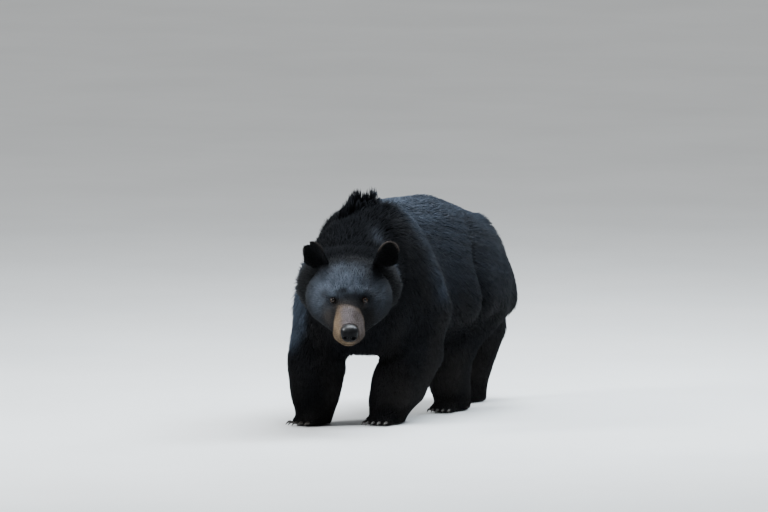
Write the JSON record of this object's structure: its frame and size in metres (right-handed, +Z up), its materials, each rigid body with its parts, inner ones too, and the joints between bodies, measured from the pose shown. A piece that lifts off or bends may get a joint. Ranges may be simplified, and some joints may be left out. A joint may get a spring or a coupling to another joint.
{
  "type": "american black bear model",
  "caption": "Life-size standing black bear with its head low and turned to its left, for display; solids reach to the tips of the coat.",
  "frame": {"origin": "on the floor under the middle of the animal's bounding box", "axes": "+Z up, -Y is the way the trunk faces, +X is the bear's left"},
  "size_m": [0.6426, 1.6086, 0.9439],
  "materials": {
    "coat": "glossy black fur",
    "muzzle_coat": "short tan fur",
    "nose": "moist, pebbled skin",
    "eye": "wet, dark brown",
    "claw": "dark horn"
  },
  "bodies": {
    "root": {"claw_front_left_1": "claw", "claw_front_left_2": "claw", "claw_front_left_3": "claw", "claw_front_left_4": "claw", "claw_front_left_5": "claw", "claw_front_right_1": "claw", "claw_front_right_2": "claw", "claw_front_right_3": "claw", "claw_front_right_4": "claw", "claw_front_right_5": "claw", "claw_hind_left_1": "claw", "claw_hind_left_2": "claw", "claw_hind_left_3": "claw", "claw_hind_left_4": "claw", "claw_hind_left_5": "claw", "claw_hind_right_1": "claw", "claw_hind_right_2": "claw", "claw_hind_right_3": "claw", "claw_hind_right_4": "claw", "claw_hind_right_5": "claw", "ear_left": "coat", "ear_right": "coat", "eye_left": "eye", "eye_right": "eye", "head": "coat", "jaw": "muzzle_coat", "leg_front_left_lower": "coat", "leg_front_left_upper": "coat", "leg_front_right_lower": "coat", "leg_front_right_upper": "coat", "leg_hind_left_lower": "coat", "leg_hind_left_upper": "coat", "leg_hind_right_lower": "coat", "leg_hind_right_upper": "coat", "muzzle": "muzzle_coat", "neck": "coat", "nose": "nose", "paw_front_left": "coat", "paw_front_right": "coat", "paw_hind_left": "coat", "paw_hind_right": "coat", "tail": "coat", "trunk_belly": "coat", "trunk_chest": "coat", "trunk_rump": "coat"}
  },
  "joints": []
}
